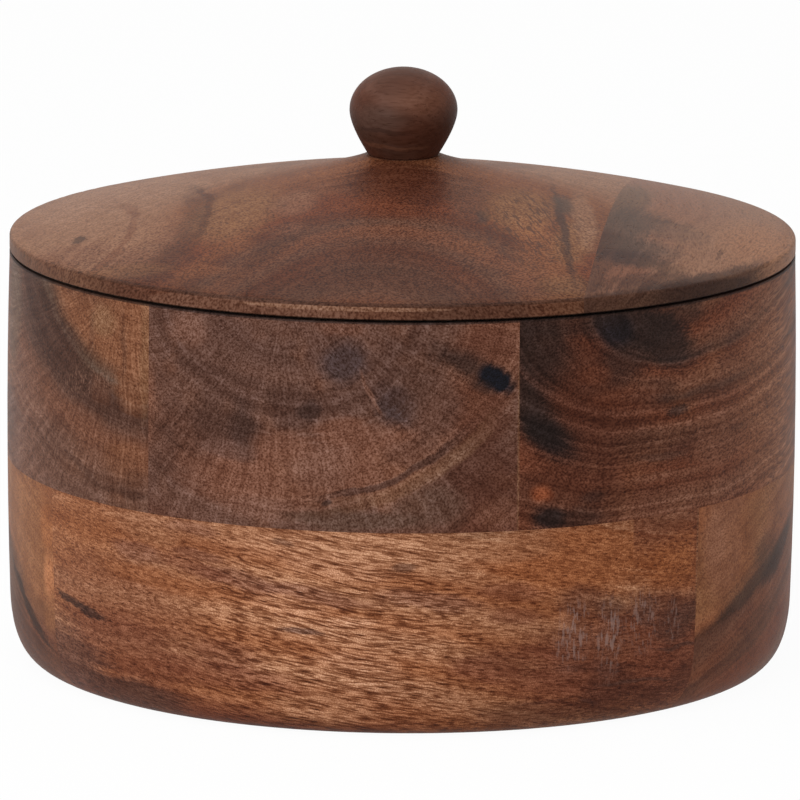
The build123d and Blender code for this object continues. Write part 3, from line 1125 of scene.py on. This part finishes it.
LID_MAIN = Board(
    name="lid_main",
    pith=(4, -103, 100),
    slope=(35, 0, 0),
    rings=(
        (0, BROWN), (12, BROWN), (18, WALNUT), (24, COCOA), (36, BRICK), (40, WALNUT),
        (44, BROWN), (47, BROWN), (50, WALNUT), (55, BRICK), (60, RUSSET), (66, RUSSET),
        (74, BROWN), (86, COPPER), (102, HAZE), (180, HAZE),
    ),
    scuffs=(
        Scuff(dome(38, -42, 13, 30, UMBER, 0.8, edge=1), (0.7, 5, 3), 0.55, (0, 0, -22)),
    ),
    oil=(0.8, 0.69, 0.57),
    stain=COCOA,
    glow=BROWN,
    fibre=(0.65, 3.2, 0.6),
    speckle=2.8,
    bold=dome(2, -66, 70, 40, SAND, 0.8, edge=1.2),
    figure=0.5,
    rays=0.4,
    clouds=0.5,
    seed=8,
).marked(
    dome(-41, -37, 11, 24, TAN, 0.8),
    dome(-78, 0, 22, 36, PINK),
    dome(-76, -44, 20, 34, HAZE, 0.8),
    dome(
        -80.8, -42, 31, 60, UMBER, 0.45, ring=3.8, edge=1.2,
        only=dome(-45, -50, 22, 52, COCOA, 1, edge=1),
    ),
    dome(-84, -57, 13, 11, ROSE, 0.55),
    dome(-66, -66, 7, 8, ROSE, 0.5),
    dome(
        -80.8, -42, 33.5, 62, WINE, 0.55, ring=1, edge=1,
        only=dome(-46, -22, 14, 30, COCOA, 1, edge=1),
    ),
    dome(
        -80.8, -42, 13.5, 37, BROWN, ring=1.2, only=dome(-66, -44, 12, 44, BROWN, 1, edge=1)
    ),
    dome(-80.8, -42, 1.7, 3.4, COAL, 0.7, edge=0.6),
    dome(-43.5, -75, 3, 20, COPPER, 0.5, spin=-24, edge=1.2),
    dome(-27.5, -71, 3.4, 20, UMBER, spin=-22, edge=1.2),
    dome(-25, -34, 6, 10, CLAY, 0.55),
    dome(-24, -54, 5, 5, ROSE, 0.5),
    dome(2, -78, 15, 8, COCOA, 0.5),
    dome(-14, -72, 26, 18, WINE, 0.3, edge=1.3),
    dome(-63, -75, 11, 4.5, TAN, 0.5, spin=-14),
    dome(-43.5, -81, 7, 4, COPPER, 0.45),
    dome(-36, -65, 5, 6, COPPER, 0.4),
    dome(0, -84, 18, 4, UMBER, 0.4),
    dome(31, -79, 7, 3.4, UMBER, 0.4),
    dome(26, -63, 6, 6, COPPER, 0.4),
    dome(45, -56, 4.5, 9, TAN, 0.5),
    # Painted shadow: dark at the foot of the knob, on its front.
    dome(3, -15.5, 13, 4.5, SOOT, 0.4),
    dome(14, -66, 22, 12, WINE, 0.25, edge=1.3),
    dome(6, -91.5, 26, 6, WINE, 0.35, edge=1.3),
    dome(0, -39.2, 14, 7, RUSSET),
    # Painted shade: the lid darker just in front of the knob, where the knob shades it.
    dome(-2, -20, 12, 13, WINE, 0.8),
    dome(9, -26, 8, 13, WINE, 0.85),
    dome(20.5, -27.7, 6, 16, WALNUT, 0.7, spin=8),
    dome(25.8, -40.4, 1.8, 4.8, SLATE, 0.8),
    dome(34.7, -29.8, 9, 18, TAN, 0.85),
    dome(44.8, -62, 8, 20, COPPER, 0.8, spin=10),
    dome(38.5, -44, 5, 9, HONEY, 0.5),
    dome(50.5, -48, 5, 18, TAN, 0.8),
    dome(52.5, -84, 7, 9, TAN, 0.7),
    dome(46.4, -36, 1.1, 36, SLATE, 0.8, spin=9.7, edge=1),
    dome(50.2, -64, 0.8, 14, UMBER, 0.7, spin=13, edge=1),
    dome(45, -19, 3.4, 8.5, ASH, 0.85, spin=10),
    dome(51, -27, 3, 26, HAZE, 0.85, spin=8),
    dome(50.7, -92.1, 7, 5, COPPER),
    LID_EDGE_PAINTED_SHADE,
    # Painted shade: the rim band darker all round, and more on its left.
    layer(112, 2.6, COCOA, 0.55, **RIM),
    Mark((-82, -62, 111.6), (32, 60, 3.2), UMBER, 0.2, **RIM),
    Mark((-30, -99, 111.6), (30, 22, 3.2), MAUVE, 0.85, **RIM),
    # Painted highlight: a thin pale line near the top of the rim, at the front.
    Mark((-4, -106, 113.5), (28, 20, 0.6), PINK, 0.5, **RIM),
    RIM_PAINTED_SHADE,
    LID_SHADOW,
)

LID_SIDE = Board(
    name="lid_side",
    pith=(120, 0, 60),
    rings=((0, TAN), (58, HAZE), (68, HAZE), (80, CLAY), (130, CLAY)),
    oil=(0.77, 0.66, 0.56),
    stain=WALNUT,
    glow=TAN,
    fibre=(0.5, 2.2, 0.5),
    speckle=2.4,
    figure=0.3,
    rays=0.2,
    bands=0.2,
    clouds=0.35,
    seed=9,
).marked(
    dome(90, -8, 14, 30, HAZE),
    dome(97, -14, 10, 26, SAND, 0.4, edge=1.3),
    dome(75, 19, 11, 30, CLAY),
    dome(64.8, -67, 9, 11, ROSE, 0.85),
    dome(60.1, 6, 5.8, 26, MOSS, 0.75, edge=1.1),
    dome(61, -31, 7, 24, ASH, 0.85, edge=1),
    dome(66, -18, 6, 12, ASH, 0.5, edge=1.1),
    dome(59.5, -47, 9, 11, UMBER, 0.85, edge=0.8),
    dome(57.5, -62, 5, 7, UMBER, edge=0.9),
    dome(58, -76, 3.4, 10, UMBER, 0.7, edge=0.9),
    dome(72, -22, 10, 10, ASH, 0.4, edge=1.2),
    dome(67.8, -44.4, 9, 8, ASH, 0.7, spin=20, edge=1.1),
    dome(66, -54, 9, 6, SLATE, 0.85, spin=14, edge=0.9),
    dome(74, -56, 6, 5, OLIVE, edge=1.1),
    dome(76, -66, 17, 5, COAL, 0.55, spin=38, edge=0.9),
    # Painted shade: a dark ring at the lid's outer edge, on its right front.
    dome(
        0, 0, 104.4, 104.4, COAL, 0.7, ring=1.8, edge=0.8,
        only=dome(90, -56, 22, 24, COAL, 1, edge=0.7),
    ),
    dome(71, -14.7, 5, 2.6, OLIVE, 0.4, edge=1.2),
    dome(87.8, -35.1, 0.6, 5.4, UMBER, 0.5),
    LID_EDGE_PAINTED_SHADE,
    # Painted shade: the rim band darker on the right.
    Mark((74, -86, 112), (34, 60, 3.4), COAL, 0.7, **RIM),
    LID_SHADOW,
)

KNOB_WOOD = Board(
    name="knob",
    lengthwise=Lengthwise.X,
    pith=(0, 6, 128),
    rings=(
        (0, WINE), (10, UMBER), (14, WINE), (20, UMBER), (27, BRICK), (32, COCOA),
        (60, COCOA),
    ),
    oil=(0.92, 0.91, 0.9),
    stain=UMBER,
    glow=BRICK,
    fibre=(1, 4, 0.6),
    speckle=1.1,
    pores=0.3,
    figure=0.6,
    rays=0.4,
    seed=10,
).marked(
    # Painted highlight: a soft pale patch on the knob's front, left of its middle.
    Mark((-5, -12, 146.5), (7, 9, 4), ASH, 0.4, edge=1.2),
    Mark((-4, -12, 143.6), (9, 9, 0.7), COAL, 0.5, fray=0.4),
    # Painted light: the knob paler high up on the right, where the top lamp falls.
    Mark((6, -12, 152), (9, 9, 3), BROWN, 0.4, edge=1.2),
    # Painted shade on the knob's lower right.
    Mark((8, -11, 142), (8, 9, 4), WINE, 0.6, edge=1.2),
    Mark((-2, -10, 139.2), (9, 6, 0.6), BROWN, 0.5, fray=0.4),
)

SPOON_WOOD = Board(
    name="spoon",
    lengthwise=Lengthwise.Z,
    pith=(40, 30, 50),
    rings=((0, BROWN), (45, COPPER), (90, TAN)),
    stain=BROWN,
    glow=TAN,
    speckle=2,
    seed=11,
)


# ---- sub-assemblies


@dataclass(frozen=True)
class Woodwork:
    """A sub-assembly of turned wood whose nodes keep their shape and get their boards' wood."""

    title: str
    wood: Mapping[str, Board]

    def dress(self, nodes: Objects) -> None:
        """Gives each node its board's material."""
        for node, board in self.wood.items():
            wood = OiledAcacia(board)
            wood.dress(nodes[node])
            LOG.info("%s: %s in %s", self.title, node, wood.material.name)


@dataclass(frozen=True)
class SpiceCups:
    """The seven spun cups, each brushed round its own axis."""

    prefix: str = "spice_cup"

    def dress(self, nodes: Objects) -> None:
        """Gives every cup its steel."""
        for name, node in nodes.items():
            if name.startswith(self.prefix):
                low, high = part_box(name)
                steel = SpunSteel().material((low + high) / 2 * MM)
                for slot in node.material_slots:
                    slot.material = steel
                LOG.info("cups: %s in %s", name, steel.name)


@dataclass(frozen=True)
class KnobScrew:
    """The countersunk wood screw that holds the knob: cross recess, shank, thread and tip.

    Sizes are in metres, and the screw stands upright with its head at the bottom.
    """

    node: str = "knob_screw"
    head_radius: float = 0.004
    shank_radius: float = 0.002
    core_radius: float = 0.0014
    head_height: float = 0.002
    rim: float = 0.0003  # the flat edge of the head
    chamfer: float = 0.0001
    plain: float = 0.004  # shank without thread above the head
    pitch: float = 0.0012
    steep: float = 0.0004  # height of the thread's lower flank, and of the shank's end
    shallow: float = 0.0003  # height of its upper flank
    root: float = 0.0001  # how far the thread is sunk into the core
    tip: float = 0.003
    wing: float = 0.0022  # half the recess's length
    slot: float = 0.00045  # half its width
    recess: float = 0.0013  # its depth
    taper: float = 0.6  # width of its bottom for a mouth of one
    around: int = 48  # sides of a full turn
    double: float = 1e-7  # points this near each other are one

    def build(self) -> bpy.types.Object:
        """Turns the screw and cuts its recess.

        Returns:
            The finished piece, riding on the lid in place of its node.
        """
        low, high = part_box(self.node)
        screw = self._piece("threaded_knob_screw", self._blank(low.z, high.z))
        cross = self._piece("recess_cutter", self._cross(low.z))
        cut = screw.modifiers.new("recess", "BOOLEAN")
        cut.operation, cut.object, cut.solver = "DIFFERENCE", cross, "EXACT"
        bpy.context.view_layer.update()
        ready = screw.evaluated_get(bpy.context.evaluated_depsgraph_get())
        screw.data = bpy.data.meshes.new_from_object(ready)
        screw.modifiers.clear()
        bpy.data.objects.remove(cross)
        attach(screw, "lid")
        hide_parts(self.node)
        return screw

    def _piece(self, name: str, shape: bmesh.types.BMesh) -> bpy.types.Object:
        """An object of a closed shape, its doubles merged and its faces turned outwards."""
        bmesh.ops.remove_doubles(shape, verts=shape.verts, dist=self.double)
        bmesh.ops.recalc_face_normals(shape, faces=shape.faces)
        mesh = bpy.data.meshes.new("screw")
        shape.to_mesh(mesh)
        shape.free()
        piece = bpy.data.objects.new(name, mesh)
        bpy.context.scene.collection.objects.link(piece)
        return piece

    def _blank(self, base: float, top: float) -> bmesh.types.BMesh:
        """The turned screw with its thread, before the recess is cut.

        Args:
            base: Height of the head's flat face.
            top: Height of the tip.

        Returns:
            The shape.
        """
        shape = bmesh.new()
        start = base + self.head_height + self.plain
        profile = [
            (0.0, base),
            (self.head_radius - self.chamfer, base),
            (self.head_radius, base + self.chamfer),
            (self.head_radius, base + self.rim),
            (self.shank_radius, base + self.head_height),
            (self.shank_radius, start),
            (self.core_radius, start + self.steep),
            (self.core_radius, top - self.tip),
            (0.0, top),
        ]
        rim = [shape.verts.new((x, 0.0, z)) for x, z in profile]
        edges = [shape.edges.new(pair) for pair in zip(rim, rim[1:])]
        self._spin(shape, rim + edges, self.around, use_merge=True)
        self._thread(shape, start, top)
        return shape

    def _thread(self, shape: bmesh.types.BMesh, start: float, top: float) -> None:
        """Winds a sharp ridge round the core, closed to a point towards the tip."""
        steps = int((top - self.tip - start) / self.pitch * self.around)
        inner = self.core_radius - self.root
        corners = [(inner, -self.steep), (self.shank_radius, 0.0), (inner, self.shallow)]
        ring = [shape.verts.new((x, 0.0, start + z)) for x, z in corners]
        face = shape.faces.new(ring)
        rise = (0, 0, self.pitch / self.around)
        made = self._spin(shape, [face, *face.edges, *ring], steps, dvec=rise, use_merge=False)
        last = [item for item in made["geom_last"] if isinstance(item, bmesh.types.BMVert)]
        bmesh.ops.pointmerge(shape, verts=last, merge_co=last[0].co)

    def _spin(self, shape: bmesh.types.BMesh, geom: list, steps: int, **more: Any) -> dict:
        """Turns a profile about the screw's axis, a step at a time."""
        angle = math.tau * steps / self.around
        axis = {"cent": (0, 0, 0), "axis": (0, 0, 1)}
        return bmesh.ops.spin(shape, geom=geom, angle=angle, steps=steps, **axis, **more)

    def _cross(self, base: float) -> bmesh.types.BMesh:
        """The driver's cross, narrower at its bottom, to be cut from the head."""
        shape = bmesh.new()
        for long, wide in ((self.wing, self.slot), (self.slot, self.wing)):
            size = Matrix.Diagonal((2 * long, 2 * wide, 2 * self.recess, 1.0))
            place = Matrix.Translation((0, 0, base))
            bar = bmesh.ops.create_cube(shape, size=1.0, matrix=place @ size)["verts"]
            for corner in bar:
                if corner.co.z > base:
                    corner.co.x *= self.taper
                    corner.co.y *= self.taper
        return shape


BODY = Woodwork(
    "body",
    {
        "wall_block_left": LEFT_BLOCK,
        "wall_block_front": FRONT_BLOCK,
        "wall_block_right": RIGHT_BLOCK,
        "wall_block_back": BACK_BLOCK,
        "base_plank_front": FRONT_PLANK,
        "base_plank_middle": MIDDLE_PLANK,
        "base_plank_back": BACK_PLANK,
    },
)
LID = Woodwork(
    "lid", {"lid_plank_main": LID_MAIN, "lid_plank_side": LID_SIDE, "lid_knob": KNOB_WOOD}
)
SPOON = Woodwork("spoon", {"spice_spoon": SPOON_WOOD})


def main() -> None:
    """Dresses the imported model, sub-assembly by sub-assembly."""
    logging.basicConfig(level=logging.INFO, format="%(name)s: %(message)s")
    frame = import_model()
    for assembly in (BODY, LID, SpiceCups(), SPOON):
        assembly.dress(frame["nodes"])
    screw = KnobScrew().build()
    ZincPlate().dress(screw)
    LOG.info("lid: %s, %d faces", screw.name, len(screw.data.polygons))
    Studio().build()


if __name__ == "__main__":
    main()
